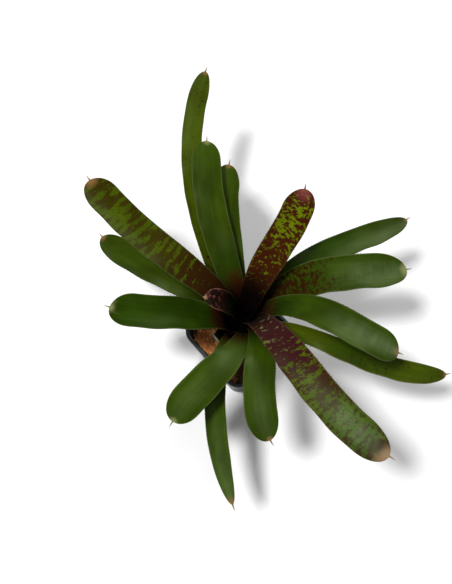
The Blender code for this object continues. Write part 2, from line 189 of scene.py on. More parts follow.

# How one leaf is coloured: its root, middle and outer colour; its end's colour and how many
# millimetres of the tip that takes; the margin; the flush over the base and the share of the blade
# that it reaches; the stain, how far it covers the leaf near the base and far out, and how much it
# runs in cross-bands; the strength of the bloom, which is partly a painted sheen; and the shine.
Look = namedtuple(
    "Look",
    "root middle outer end end_size edge flush flush_reach stain near far banding bloom shine",
    defaults=(EDGE_GREEN, MAROON, 0.02, MAROON, 0.0, 0.0, 0.5, 0.0, LEAF_SHINE),
)
LOOKS = {
    # The bud and the heart's root and stain take the cup's painted shade, near black.
    "leaf_bud": Look(
        CUP_SHADE, CUP_SHADE, CUP_SHADE, MAROON, 2, edge=CUP_SHADE, flush=CUP_SHADE, flush_reach=0.8,
        stain=CUP_SHADE, near=0.6, far=0.5, banding=0.2, shine=0.05,
    ),
    "leaf_heart": Look(
        CUP_SHADE, MAROON, ROSE, PINK_TIP, 5, edge=PINK_TIP, flush=CUP_SHADE, flush_reach=0.4,
        stain=CUP_SHADE, near=0.7, far=0.55, banding=0.0, shine=0.1,
    ),
    "leaf_mottled_front": Look(
        PALE_FLECK, BAND_GREEN, GREY_GREEN, PINK_TIP, 15, edge=EDGE_RED, flush=WINE, flush_reach=0.0,
        stain=WINE, near=1.02, far=0.62, banding=0.6, bloom=0.6, shine=0.07,
    ),
    "leaf_mottled_back": Look(
        FLECK_GREEN, FLECK_GREEN, FLECK_GREEN, ROSE, 9, edge=EDGE_RED,
        near=1.1, far=0.7, banding=0.0, shine=0.08,
    ),
    "leaf_banded_left": Look(
        DEEP_GREEN, OLIVE, OLIVE, BROWN_TIP, 11, flush_reach=0.05,
        stain=DULL_MAROON, near=1.0, far=0.68, banding=0.9, shine=0.1,
    ),
    "leaf_front": Look(
        DEEP_GREEN, GREEN, GREEN, BROWN_TIP, 4, flush=DULL_MAROON, flush_reach=0.2, near=0.15, bloom=0.2
    ),
    "leaf_glossy_right": Look(
        DEEP_GREEN, GREEN, GREEN, BROWN_TIP, 5, flush=RUST, flush_reach=0.1, near=0.12, bloom=0.6
    ),
    "leaf_front_left": Look(
        DEEP_GREEN, GREEN, GREEN, PALE_TIP, 5, flush=DULL_MAROON, flush_reach=0.18, near=0.1, bloom=0.15
    ),
    "leaf_back": Look(DEEP_GREEN, MOSS, GREEN, PALE_TIP, 4, flush_reach=0.12, near=0.2),
    "leaf_left": Look(
        DEEP_GREEN, DEEP_GREEN, DEEP_GREEN, PALE_TIP, 9, flush_reach=0.12, near=0.08, shine=0.07
    ),
    "leaf_right": Look(
        DEEP_GREEN, GREEN, GREEN, PALE_TIP, 7, flush_reach=0.04,
        stain=DULL_MAROON, near=0.86, far=0.1, banding=0.4, bloom=0.4, shine=0.15,
    ),
    "leaf_back_short": Look(GREEN, GREEN, GREEN, BROWN_TIP, 4),
    "leaf_right_low": Look(
        BAND_GREEN, GREEN, OLIVE, BROWN_TIP, 5, edge=CREAM, stain=DULL_MAROON, far=0.26
    ),
    "leaf_front_low": Look(GREEN, GREEN, GREY_GREEN, BROWN_TIP, 6, bloom=0.25),
    "leaf_right_upper": Look(
        DEEP_GREEN, DEEP_GREEN, MOSS, BROWN_TIP, 6, flush_reach=0.1,
        stain=DULL_MAROON, near=0.2, far=0.1, bloom=0.1,
    ),
    "leaf_left_low": Look(
        MOSS, MOSS, MOSS, BROWN_TIP, 6, flush_reach=0.15, stain=DULL_MAROON, near=0.2, far=0.1
    ),
    "leaf_back_long": Look(
        OLIVE, OLIVE, OLIVE, BROWN_TIP, 6, flush=RUST, flush_reach=0.1,
        stain=DULL_MAROON, near=0.2, far=0.2,
    ),
    # The near-black stain on the old sheath is painted shade beside the cup.
    "sheath_old": Look(
        MAROON, MAROON, WINE, CREAM, 3, edge=CREAM, flush_reach=0.5,
        stain=CUP_SHADE, near=0.5, far=0.5, banding=0.2,
    ),
}


# Node trees


class Net:
    """A node tree, with short calls for the nodes that the looks are made of."""

    def __init__(self, tree):
        self.tree = tree

    def set_inputs(self, node, inputs):
        """Links or sets a node's inputs, by name or number."""
        for socket, value in inputs.items():
            if isinstance(value, bpy.types.NodeSocket):
                self.tree.links.new(value, node.inputs[socket])
            else:
                node.inputs[socket].default_value = value

    def add(self, kind, inputs=None, **settings):
        made = self.tree.nodes.new(kind)
        for name, value in settings.items():
            setattr(made, name, value)
        self.set_inputs(made, inputs or {})
        return made

    def maths(self, operation, *values):
        inputs = dict(enumerate(values))
        return self.add("ShaderNodeMath", inputs, operation=operation).outputs[0]

    def plus(self, first, second):
        return self.maths("ADD", first, second)

    def minus(self, first, second):
        return self.maths("SUBTRACT", first, second)

    def times(self, *values):
        product = values[0]
        for value in values[1:]:
            product = self.maths("MULTIPLY", product, value)
        return product

    def between(self, share, first, second):
        """The number that lies a share of the way from the first to the second."""
        return self.plus(first, self.times(share, self.minus(second, first)))

    def ramp(self, value, low, high, start=0.0, end=1.0):
        """A smooth step of a value from one level to another."""
        inputs = {"Value": value, "From Min": low, "From Max": high, "To Min": start, "To Max": end}
        return self.add("ShaderNodeMapRange", inputs, interpolation_type="SMOOTHSTEP").outputs[0]

    def swing(self, pattern, start=0.0, end=1.0):
        """A noise's usual range, stretched from one number to another."""
        return self.ramp(pattern, 0.3, 0.7, start, end)

    def axis(self, vector, name):
        """One coordinate of a vector."""
        return self.add("ShaderNodeSeparateXYZ", {0: vector}).outputs[name]

    def stretched(self, vector, factors):
        inputs = {0: vector, 1: factors}
        return self.add("ShaderNodeVectorMath", inputs, operation="MULTIPLY").outputs[0]

    def scaled(self, vector, factor):
        inputs = {0: vector, "Scale": factor}
        return self.add("ShaderNodeVectorMath", inputs, operation="SCALE").outputs[0]

    def mix(self, share, first, second):
        """A share of the second colour laid over the first."""
        inputs = {0: share}
        for socket, colour in ((6, first), (7, second)):
            is_linked = isinstance(colour, bpy.types.NodeSocket)
            inputs[socket] = colour if is_linked else (*colour, 1.0)
        return self.add("ShaderNodeMix", inputs, data_type="RGBA").outputs[2]

    def noise(self, where, detail, roughness=0.5, distortion=0.0, scale=1.0):
        inputs = {
            "Vector": where,
            "Scale": scale,
            "Detail": detail,
            "Roughness": roughness,
            "Distortion": distortion,
        }
        return self.add("ShaderNodeTexNoise", inputs).outputs[0]

    def bump(self, height, strength, depth):
        inputs = {"Strength": strength, "Distance": depth, "Height": height}
        return self.add("ShaderNodeBump", inputs).outputs[0]


class Growth(Net):
    """A Geometry Nodes tree with named inputs, a seed and a material for what it makes."""

    def __init__(self, name, inputs, seed):
        super().__init__(bpy.data.node_groups.new(name, "GeometryNodeTree"))
        self.tree.is_modifier = True
        face = self.tree.interface
        face.new_socket("Geometry", in_out="INPUT", socket_type="NodeSocketGeometry")
        for label, value in inputs.items():
            kind = "NodeSocketCollection" if value is None else "NodeSocketFloat"
            socket = face.new_socket(label, in_out="INPUT", socket_type=kind)
            if value is not None:
                socket.default_value = value
        face.new_socket("Seed", in_out="INPUT", socket_type="NodeSocketInt").default_value = seed
        face.new_socket("Material", in_out="INPUT", socket_type="NodeSocketMaterial")
        face.new_socket("Geometry", in_out="OUTPUT", socket_type="NodeSocketGeometry")
        self.given = self.add("NodeGroupInput").outputs

    def read(self, name, kind="FLOAT"):
        """A named attribute of the mesh."""
        made = self.add("GeometryNodeInputNamedAttribute", {"Name": name}, data_type=kind)
        return made.outputs["Attribute"]

    def mark(self, geometry, name, value):
        """Stores a number on every point of a piece."""
        inputs = {"Geometry": geometry, "Name": name, "Value": value}
        return self.add("GeometryNodeStoreNamedAttribute", inputs, data_type="FLOAT").outputs[0]

    def join(self, *geometries):
        made = self.add("GeometryNodeJoinGeometry")
        for geometry in geometries:
            self.tree.links.new(geometry, made.inputs[0])
        return made.outputs[0]

    def draw(self, low, high):
        """A random number or vector from the tree's seed."""
        if isinstance(low, tuple):
            inputs = {0: low, 1: high, "Seed": self.given["Seed"]}
            return self.add("FunctionNodeRandomValue", inputs, data_type="FLOAT_VECTOR").outputs[0]
        inputs = {2: low, 3: high, "Seed": self.given["Seed"]}
        return self.add("FunctionNodeRandomValue", inputs, data_type="FLOAT").outputs[1]

    def scatter(self, attribute, level):
        """Points strewn over the faces on which an attribute is above a level."""
        inputs = {
            "Mesh": self.given["Geometry"],
            "Selection": self.maths("GREATER_THAN", self.read(attribute), level),
            "Density": self.given["Density"],
            "Seed": self.given["Seed"],
        }
        return self.add("GeometryNodeDistributePointsOnFaces", inputs).outputs

    def stand(self, points, piece, turn, size, more):
        """Copies of a piece on points, turned and sized."""
        inputs = {"Points": points, "Instance": piece, "Rotation": turn, "Scale": size, **more}
        return self.add("GeometryNodeInstanceOnPoints", inputs).outputs[0]

    def made_real(self, geometry):
        return self.add("GeometryNodeRealizeInstances", {"Geometry": geometry}).outputs[0]

    def end(self, geometry):
        """The tree ends by making its instances real and giving them their material."""
        inputs = {"Geometry": self.made_real(geometry), "Material": self.given["Material"]}
        coated = self.add("GeometryNodeSetMaterial", inputs).outputs[0]
        self.add("NodeGroupOutput", {"Geometry": coated})
        return self.tree


def grown(base, name, tree, values):
    """A plain mesh object from a base object and a tree, with the tree's inputs set by identifier."""
    modifier = base.modifiers.new(tree.name, "NODES")
    modifier.node_group = tree
    for item in tree.interface.items_tree:
        if item.in_out == "INPUT" and item.name in values:
            modifier[item.identifier] = values[item.name]
    mesh = as_evaluated(base)
    mesh.name = name
    base.modifiers.remove(modifier)
    return show(name, mesh)


def as_evaluated(item):
    """A new mesh of an object as its modifiers leave it."""
    bpy.context.view_layer.update()
    evaluated = item.evaluated_get(bpy.context.evaluated_depsgraph_get())
    return bpy.data.meshes.new_from_object(evaluated)


def show(name, mesh):
    """An object in the scene for a mesh."""
    made = bpy.data.objects.new(name, mesh)
    scene.collection.objects.link(made)
    return made


def make_object(name, points, faces):
    """An object at the origin from millimetre points."""
    mesh = bpy.data.meshes.new(name)
    mesh.from_pydata((np.asarray(points, float) * MM).tolist(), [], [tuple(f) for f in faces])
    mesh.update()
    return show(name, mesh)


def discard(*objects):
    """Removes objects that were only steps on the way, with their meshes."""
    for item in objects:
        mesh = item.data
        bpy.data.objects.remove(item)
        bpy.data.meshes.remove(mesh)


def coat(item, *materials):
    """Gives an object its materials in place of any that it has."""
    item.data.materials.clear()
    for material in materials:
        item.data.materials.append(material)


def new_finish(name):
    """A material, with the net of its nodes and its shader."""
    material = bpy.data.materials.new(name)
    material.use_nodes = True
    return material, Net(material.node_tree), material.node_tree.nodes["Principled BSDF"]


# The leaf's middle sheet, on the rules of the solids


def smooth(value):
    """0 to 1 with no kink at either end."""
    held = np.clip(value, 0.0, 1.0)
    return held * held * (3.0 - 2.0 * held)


def unit(vectors):
    """Vectors made one long."""
    return vectors / np.linalg.norm(vectors, axis=-1, keepdims=True)


def heading(slope, length):
    """A step along a slope, as radius and height."""
    return np.array([math.cos(math.radians(slope)), math.sin(math.radians(slope))]) * length


def bezier(start, end, first_slope, last_slope):
    """Points of a cubic curve that leaves start at one slope and reaches end at another."""
    hold = BEND_REACH * np.linalg.norm(end - start)
    lead = start + heading(first_slope, hold)
    trail = end - heading(last_slope, hold)
    t = np.linspace(0.0, 1.0, CURVE_POINTS)[:, None]
    near = start * (1 - t) ** 3 + 3 * lead * t * (1 - t) ** 2
    return near + 3 * trail * t**2 * (1 - t) + end * t**3


def stem_radius(height):
    share = (height - STEM_FOOT) / (STEM_TOP - STEM_FOOT)
    return STEM_FOOT_RADIUS + share * (STEM_TOP_RADIUS - STEM_FOOT_RADIUS)


def spine_length(leaf):
    """A grown leaf has the full spine, a short one a share of its reach."""
    return min(SPINE_LENGTH, SPINE_SHARE * leaf.reach)


def profile(leaf):
    """The leaf's midline as radius and height against length, with the lengths at throat and tip."""
    seat_height = FIRST_SEAT - SEAT_STEP * leaf.ring
    seat = np.array([stem_radius(seat_height) + FIT + SEAT_CLEAR, seat_height])
    throat_radius = FIRST_THROAT_RADIUS + THROAT_RADIUS_STEP * leaf.ring
    throat_height = FIRST_THROAT_HEIGHT - THROAT_HEIGHT_STEP * leaf.ring
    throat = np.array([throat_radius, throat_height] if leaf.ring else BUD_THROAT)
    rise = FIRST_RISE - RISE_STEP * leaf.ring
    tip = np.array([leaf.reach, leaf.height], float)
    sheath = bezier(seat, throat, 90.0 - SEAT_LEAN, rise)
    blade = bezier(throat, tip, rise, leaf.slope)
    out = np.linspace(0.1, 1.0, SPINE_POINTS)[:, None]
    spine = tip + heading(leaf.slope, spine_length(leaf)) * out
    line = np.concatenate([sheath, blade[1:], spine])
    length = np.concatenate([[0.0], np.cumsum(np.linalg.norm(np.diff(line, axis=0), axis=1))])
    throat_at = length[len(sheath) - 1]
    tip_at = length[len(sheath) + len(blade) - 2]
    return length, line[:, 0], line[:, 1], throat_at, tip_at


def stations(leaf, throat_at, tip_at):
    """Lengths of the rows of points: even along sheath and blade, closer round the tip."""
    sheath = np.linspace(0.0, throat_at, SHEATH_CELLS + 1)
    blade = np.linspace(throat_at, tip_at - leaf.tip, BLADE_CELLS + 1)[1:]
    turn = np.radians(np.linspace(0.0, LAST_TIP_TURN, TIP_CELLS + 1)[1:])
    tip = tip_at - leaf.tip + leaf.tip * np.sin(turn)
    spine = np.linspace(tip_at, tip_at + spine_length(leaf), SPINE_CELLS + 1)[1:]
    return np.concatenate([sheath, blade, tip, spine])


def half_widths(leaf, at, radius, throat_at, tip_at):
    """Half the leaf's width at each length, from its spread foot to the point of its spine."""
    up_sheath = smooth((at / throat_at - SHEATH_SPREAD_END) / (1 - SHEATH_SPREAD_END))
    sheath = leaf.throat * (SHEATH_SPREAD + (1 - SHEATH_SPREAD) * up_sheath)
    out = (at - throat_at) / (tip_at - throat_at)
    blade = leaf.throat + (leaf.width - leaf.throat) * smooth(out / leaf.swell)
    width = np.where(at < throat_at, sheath, blade)
    wrap = MOST_WRAP if leaf.ring else BUD_WRAP
    width = np.minimum(width, 2 * radius * math.radians(wrap))
    into_tip = np.clip((at - tip_at + leaf.tip) / leaf.tip, 0.0, 1.0)
    width = np.maximum(width * np.sqrt(1 - into_tip**2) - 2 * MARGIN_INSET, SPINE_ROOT)
    along_spine = np.clip((at - tip_at) / spine_length(leaf), 0.0, 1.0)
    return 0.5 * (width + (SPINE_POINT - SPINE_ROOT) * along_spine)


def bearings(leaf, radius, throat_radius):
    """The midline's bearing in radians: a parabola through the three given bearings."""
    out = np.clip((radius - throat_radius) / (leaf.reach - throat_radius), 0.0, 1.1)
    first, middle, last = leaf.bearing, leaf.mid_bearing, leaf.tip_bearing
    bend = 4 * middle - 3 * first - last
    turn = 2 * first + 2 * last - 4 * middle
    return np.radians(first + bend * out + turn * out * out)


def leaf_sheet(leaf, at, across):
    """Points of the leaf's middle surface, one row for each length and one column across."""
    length, radii, heights, throat_at, tip_at = profile(leaf)
    throat_radius = np.interp(throat_at, length, radii)

    def midline(where):
        radius = np.interp(where, length, radii)
        bearing = bearings(leaf, radius, throat_radius)
        height = np.interp(where, length, heights)
        points = np.stack([radius * np.cos(bearing), radius * np.sin(bearing), height], axis=-1)
        return radius, bearing, points

    radius, bearing, centre = midline(at)
    ahead = unit(midline(at + 0.5)[2] - midline(at - 0.5)[2])
    level = np.stack([-np.sin(bearing), np.cos(bearing), np.zeros_like(bearing)], axis=-1)
    side = unit(level - ahead * np.sum(level * ahead, axis=-1, keepdims=True))
    inward = np.cross(ahead, side)
    half = half_widths(leaf, at, radius, throat_at, tip_at)
    offset = half[:, None] * across[None, :]
    turn = offset / CHANNEL_RADIUS
    strap = (
        centre[:, None, :]
        + side[:, None, :] * (CHANNEL_RADIUS * np.sin(turn))[..., None]
        + inward[:, None, :] * (CHANNEL_RADIUS * (1 - np.cos(turn)))[..., None]
    )
    angle = bearing[:, None] + offset / radius[:, None]
    height = np.broadcast_to(centre[:, None, 2], angle.shape)
    reach = radius[:, None]
    trumpet = np.stack([reach * np.cos(angle), reach * np.sin(angle), height], axis=-1)
    free = smooth((radius - FREE_FROM) / (FREE_AT - FREE_FROM))[:, None, None]
    return trumpet + (strap - trumpet) * free, offset


def leaf_thickness(leaf, at, across, throat_at, tip_at):
    """The sheath's even thickness, thinning to the blade's margins and to the spine."""
    blade = BLADE_THICK + (MARGIN_THICK - BLADE_THICK) * across[None, :] ** 4
    share = smooth((at - throat_at) / THINNED_OVER)[:, None]
    thick = SHEATH_THICK + (blade - SHEATH_THICK) * share
    half_tip = 0.5 * leaf.tip
    narrow = smooth((at - tip_at + half_tip) / half_tip)[:, None]
    return thick + (SPINE_POINT - thick) * narrow


def store(mesh, name, values):
    """Keeps a number or a vector for every point of a mesh."""
    values = np.asarray(values, np.float32)
    is_vector = values.size > len(mesh.vertices)
    layer = mesh.attributes.new(name, "FLOAT_VECTOR" if is_vector else "FLOAT", "POINT")
    layer.data.foreach_set("vector" if is_vector else "value", values.ravel())


def make_sheet(leaf, number):
    """The middle sheet as a mesh of squares that knows where each point lies on the leaf."""
    throat_at, tip_at = profile(leaf)[3:]
    at = stations(leaf, throat_at, tip_at)
    across = np.linspace(-1.0, 1.0, ACROSS_CELLS + 1)
    sheet, offset = leaf_sheet(leaf, at, across)
    rows, columns = offset.shape
    faces = []
    for row in range(rows - 1):
        for column in range(columns - 1):
            corner = row * columns + column
            faces.append((corner, corner + columns, corner + columns + 1, corner + 1))
    points = sheet.reshape(-1, 3) + (PLANT_X, 0.0, 0.0)
    made = make_object(f"{leaf.name}_sheet", points, faces)
    share = (at - throat_at) / (tip_at - throat_at)
    wide = np.broadcast_to(across[None, :], offset.shape)
    along = np.broadcast_to(at[:, None], offset.shape)
    ahead = unit(np.gradient(sheet, axis=0))
    sideways = unit(np.gradient(sheet, axis=1)) * np.sign(wide + 1e-9)[..., None]
    apart = np.full_like(offset, PATTERN_APART * number)
    to_tip = np.hypot(offset, np.minimum(at - tip_at, 0.0)[:, None])
    store(made.data, "across", wide)
    store(made.data, "share", np.broadcast_to(share[:, None], offset.shape))
    store(made.data, "flat", np.stack([offset, along, apart], axis=-1) * MM)
    store(made.data, "to_tip", to_tip * MM)
    store(made.data, "from_axis", np.hypot(sheet[..., 0], sheet[..., 1]) * MM)
    store(made.data, "thick", leaf_thickness(leaf, at, across, throat_at, tip_at) * MM)
    store(made.data, "outward", sideways + TOOTH_LEAN * ahead)
    return made


def waved_sheet(net):
    """The sheet with waves that grow from its middle to its margins and die out at throat and tip."""
    across, share = net.read("across"), net.read("share")
    along = net.axis(net.read("flat", "FLOAT_VECTOR"), "Y")
    phase = net.times(net.maths("DIVIDE", along, net.given["Wave length"]), 2 * math.pi)
    phase = net.plus(phase, net.times(across, WAVE_SHIFT))
    wave = net.maths("SINE", net.plus(phase, net.given["Seed"]))
    outer = net.maths("POWER", net.maths("ABSOLUTE", across), 2.0)
    fade = net.times(net.ramp(share, *WAVES_RISE), net.ramp(share, *WAVES_FALL))
    height = net.times(wave, outer, net.given["Wave height"], fade)
    normal = net.add("GeometryNodeInputNormal").outputs["Normal"]
    inputs = {"Geometry": net.given["Geometry"], "Offset": net.scaled(normal, height)}
    return net.add("GeometryNodeSetPosition", inputs).outputs[0]


def two_sided(net, sheet):
    """The sheet thickened half to each side, with its upper side marked."""
    normal = net.add("GeometryNodeInputNormal").outputs["Normal"]
    thick = net.read("thick")
    lift = net.scaled(normal, net.times(thick, 0.5))
    upper = net.add("GeometryNodeSetPosition", {"Geometry": sheet, "Offset": lift}).outputs[0]
    turned_over = net.add("GeometryNodeFlipFaces", {"Mesh": upper}).outputs[0]
    inputs = {"Mesh": turned_over, "Offset": normal, "Offset Scale": thick, "Individual": False}
    wall = net.add("GeometryNodeExtrudeMesh", inputs).outputs["Mesh"]
    both = net.join(net.mark(wall, "upper", 0.0), net.mark(upper, "upper", 1.0))
    inputs = {"Geometry": both, "Distance": WELD}
    welded = net.add("GeometryNodeMergeByDistance", inputs).outputs[0]
    return net.add("GeometryNodeSetShadeSmooth", {"Geometry": welded}).outputs[0]


def margin_teeth(net, sheet):
    """Teeth on the two margin lines, which point out and forwards and shrink towards the tip."""
    share = net.read("share")
    rim = net.maths("GREATER_THAN", net.maths("ABSOLUTE", net.read("across")), MARGIN_LINE)
    line = net.add("GeometryNodeMeshToCurve", {"Mesh": sheet, "Selection": rim}).outputs[0]
    inputs = {"Curve": line, "Length": net.given["Tooth spacing"]}
    spaced = net.add("GeometryNodeResampleCurve", inputs, mode="LENGTH").outputs[0]
    inputs = {
        "Vertices": 4,
        "Radius Top": 0.0,
        "Radius Bottom": net.given["Tooth width"],
        "Depth": net.given["Tooth length"],
    }
    tooth = net.add("GeometryNodeMeshCone", inputs).outputs[0]
    inputs = {"Vector": net.read("outward", "FLOAT_VECTOR")}
    aim = net.add("FunctionNodeAlignRotationToVector", inputs, axis="Z").outputs[0]
    size = net.times(net.draw(*TOOTH_SIZES), net.ramp(share, *TEETH_SHRINK, 1.0, SMALLEST_TOOTH))
    first, last = TOOTHED
    on_blade = net.times(net.maths("GREATER_THAN", share, first), net.maths("LESS_THAN", share, last))
    teeth = net.stand(spaced, tooth, aim, size, {"Selection": on_blade})
    return net.mark(net.made_real(teeth), "tooth", 1.0)


def blade_tree():
    """Thickens a leaf's middle sheet both ways, lets its margins wave and sets teeth along them."""
    sizes = {
        "Wave height": 0.0004,
        "Wave length": 0.024,
        "Tooth spacing": 0.0024,
        "Tooth length": 0.0009,
        "Tooth width": 0.0002,
    }
    net = Growth("leaf_blade", sizes, seed=1)
    sheet = waved_sheet(net)
    return net.end(net.join(margin_teeth(net, sheet), two_sided(net, sheet)))


# Leaf skin

SKIN_COLOURS = ("root", "middle", "outer", "end", "edge", "flush", "stain")
SKIN_NUMBERS = ("end_size", "flush_reach", "near", "far", "banding", "bloom")

# Patterns, in features a metre across the leaf, along it and from leaf to leaf, and the cross-bands.
STREAKS = (520.0, 16.0, 1.0)
TONE = (55.0, 30.0, 1.0)
VEINS = (2600.0, 30.0, 1.0)
FLECKS = (210.0, 380.0, 1.0)
SPECKS = (520.0, 800.0, 1.0)
RAGGED = (85.0, 300.0, 1.0)
BENDS = (48.0, 62.0, 1.0)
SCALES = (26.0, 230.0, 1.0)
BAND_STEP = 0.0062
BAND_BEND = 15.0
BAND_DEPTH = 0.13

# Stretches over which a finish changes, as shares of the blade from its throat to its tip.
TO_MIDDLE = (0.15, 0.45)
TO_OUTER = (0.5, 0.9)
TO_BANDS = (0.02, 0.4)
TO_FAR_COVER = (0.1, 0.75)
TO_PATCHES = (0.2, 0.6)
TO_FAINT_BANDS = (0.28, 0.45)
# Painted shade: the leaf is darker near its throat and lifts to full colour over this stretch.
PAINTED_BASE_SHADE = (0.0, 0.32)
TO_MARGIN_LINE = (-0.02, 0.12)
TO_BLOOM_AND_SHEEN = (0.42, 0.8)
TO_GREY_BANDS = (-0.1, 0.2)
TO_SHEATH = (0.12, -0.1)
BELOW_RIM = (0.02, -0.1)

# Stretches across the leaf, from its midline at 0 to its margin at 1.
TO_MARGIN = (0.93, 0.99)
TO_MIDLINE = (0.95, 0.05)

# Distances from the plant's axis over which the painted shade of the cup sets in, and from the tip over
# which a far stain closes up.
SHADED_CUP_WALL = (0.027, 0.011)
SHADED_CUP_RIM = (0.027, 0.022)
SHADED_UNDERSIDES = (0.022, 0.017)
NEAR_TIP = (0.016, 0.008)

# How much of a colour is laid on at most, and the noise levels for a bare and a covered leaf.
STAIN_MOST = 0.97
STAIN_FAINT = 0.72
TINT_MOST = 0.85
FLUSH_BLUR = 0.1
EDGE_MOST = 0.45
CUP_SHADE_MOST = 0.97
BARE_LEVEL = 0.61
COVERED_LEVEL = 0.4


class LeafSkin(Net):
    """The shader group that colours every leaf, from where each point lies on its leaf."""

    def __init__(self):
        super().__init__(bpy.data.node_groups.new("leaf_skin", "ShaderNodeTree"))
        self.add_sockets("INPUT", "Color", SKIN_COLOURS)
        self.add_sockets("INPUT", "Float", SKIN_NUMBERS)
        self.add_sockets("OUTPUT", "Color", ("Color",))
        self.add_sockets("OUTPUT", "Float", ("Roughness", "Relief"))
        self.given = self.add("NodeGroupInput").outputs
        self.share = self.read("share")["Fac"]
        self.across = self.maths("ABSOLUTE", self.read("across")["Fac"])
        self.to_tip = self.read("to_tip")["Fac"]
        self.from_axis = self.read("from_axis")["Fac"]
        self.upper = self.read("upper")["Fac"]
        self.flat = self.read("flat")["Vector"]
        self.tone = self.pattern(TONE, 4.0, 0.55)
        self.streaks = self.pattern(STREAKS, 4.0, 0.6)
        self.scales = self.pattern(SCALES, 4.0, 0.6)
        self.wander = self.times(self.minus(self.tone, 0.5), 0.5)
        self.cup_in_shade = self.cup()
        # Painted shade: inside the cup, on the upper sides and on the undersides near the axis, the
        # colour goes to near black.
        shaded_undersides = self.ramp(self.from_axis, *SHADED_UNDERSIDES)
        facing = self.maths("MAXIMUM", self.upper, shaded_undersides)
        self.painted_cup_shade = self.times(self.cup_in_shade, facing, CUP_SHADE_MOST)
        self.below = self.times(self.minus(1.0, self.upper), self.minus(1.0, self.painted_cup_shade))
        colour = self.stained(self.ground())
        # Painted shade over the base of the blade: 0.6 of the colour at the throat, full colour a third
        # of the way out.
        colour = self.scaled(colour, self.ramp(self.share, *PAINTED_BASE_SHADE, 0.6, 1.0))
        colour = self.flushed(colour)
        # The cup's painted shade is laid on here.
        colour = self.mix(self.painted_cup_shade, colour, CUP_SHADE)
        colour = self.with_bloom_and_sheen(self.ended(colour))
        colour = self.turned_under(colour)
        colour = self.mix(self.read("tooth")["Fac"], colour, TOOTH_BROWN)
        relief = self.plus(self.times(self.pattern(VEINS, 2.0), 0.5), self.times(self.streaks, 0.5))
        finish = {"Color": colour, "Roughness": self.roughness(), "Relief": relief}
        self.add("NodeGroupOutput", finish)

    def add_sockets(self, way, kind, labels):
        for label in labels:
            self.tree.interface.new_socket(label, in_out=way, socket_type=f"NodeSocket{kind}")

    def read(self, name):
        return self.add("ShaderNodeAttribute", attribute_name=name).outputs

    def pattern(self, stretch, detail, roughness=0.5, distortion=0.0):
        """Noise on the leaf's flat coordinates."""
        return self.noise(self.stretched(self.flat, stretch), detail, roughness, distortion)

    def cup(self):
        """How far a point lies inside the cup, near the axis or under the rim, where shade is painted.
        """
        from_axis = self.plus(self.from_axis, self.times(self.wander, 0.01))
        near_axis = self.ramp(from_axis, *SHADED_CUP_WALL)
        under_rim = self.times(
            self.ramp(self.share, *BELOW_RIM), self.ramp(self.from_axis, *SHADED_CUP_RIM)
        )
        return self.maths("MAXIMUM", near_axis, under_rim)

    def ground(self):
        """Three colours from root to end, with slow changes of tone and fine lengthwise streaks."""
        drifted = self.plus(self.share, self.wander)
        colour = self.mix(self.ramp(drifted, *TO_MIDDLE), self.given["root"], self.given["middle"])
        colour = self.mix(self.ramp(drifted, *TO_OUTER), colour, self.given["outer"])
        bright = self.times(self.swing(self.streaks, 0.88, 1.12), self.swing(self.tone, 0.78, 1.25))
        return self.scaled(colour, bright)

    def stained(self, ground):
        """The stain leaves large and small flecks of ground, and runs in ragged cross-bands far out."""
        banding, far = self.given["banding"], self.given["far"]
        along = self.axis(self.flat, "Y")
        phase = self.plus(
            self.times(along, 2 * math.pi / BAND_STEP), self.times(self.pattern(BENDS, 2.0), BAND_BEND)
        )
        stripes = self.plus(self.times(self.maths("SINE", phase), BAND_DEPTH), 0.5)
        bands = self.between(0.4, self.pattern(RAGGED, 4.0, 0.6, 0.3), stripes)
        banded = self.between(self.ramp(self.share, *TO_BANDS), 0.1, banding)
        coarse = self.between(banded, self.pattern(FLECKS, 3.0, 0.6, 0.3), bands)
        field = self.between(self.between(banded, 0.36, 0.16), coarse, self.pattern(SPECKS, 2.0))
        cover = self.between(self.ramp(self.share, *TO_FAR_COVER), self.given["near"], far)
        closing = self.times(self.ramp(far, 0.3, 0.45, 0.0, 0.3), self.minus(1.0, banding))
        cover = self.plus(cover, self.times(self.ramp(self.to_tip, *NEAR_TIP), closing))
        patches = self.times(self.wander, self.ramp(self.share, *TO_PATCHES, 0.15, 0.5))
        level = self.plus(self.between(cover, BARE_LEVEL, COVERED_LEVEL), patches)
        blurred = self.plus(level, self.between(banded, 0.03, 0.05))
        far_bands = self.times(self.share, banding)
        strength = self.ramp(far_bands, *TO_FAINT_BANDS, STAIN_MOST, STAIN_FAINT)
        share = self.times(self.ramp(field, level, blurred), self.ramp(cover, 0.0, 0.12), strength)
        return self.mix(share, ground, self.given["stain"])

    def flushed(self, ground):
        """A flush over the base, and the thin line of the margin."""
        reach = self.plus(self.given["flush_reach"], self.wander)
        share = self.ramp(self.share, self.plus(reach, FLUSH_BLUR), self.minus(reach, FLUSH_BLUR))
        ground = self.mix(self.times(share, TINT_MOST), ground, self.given["flush"])
        lined = self.times(
            self.ramp(self.across, *TO_MARGIN), self.ramp(self.share, *TO_MARGIN_LINE), EDGE_MOST
        )
        return self.mix(lined, ground, self.given["edge"])

    def ended(self, ground):
        """The pale or burnt end of the leaf."""
        edge = self.times(self.given["end_size"], self.swing(self.tone, 0.5, 1.3))
        share = self.times(self.ramp(self.to_tip, edge, self.times(edge, 0.2)), TINT_MOST)
        return self.mix(share, ground, self.given["end"])

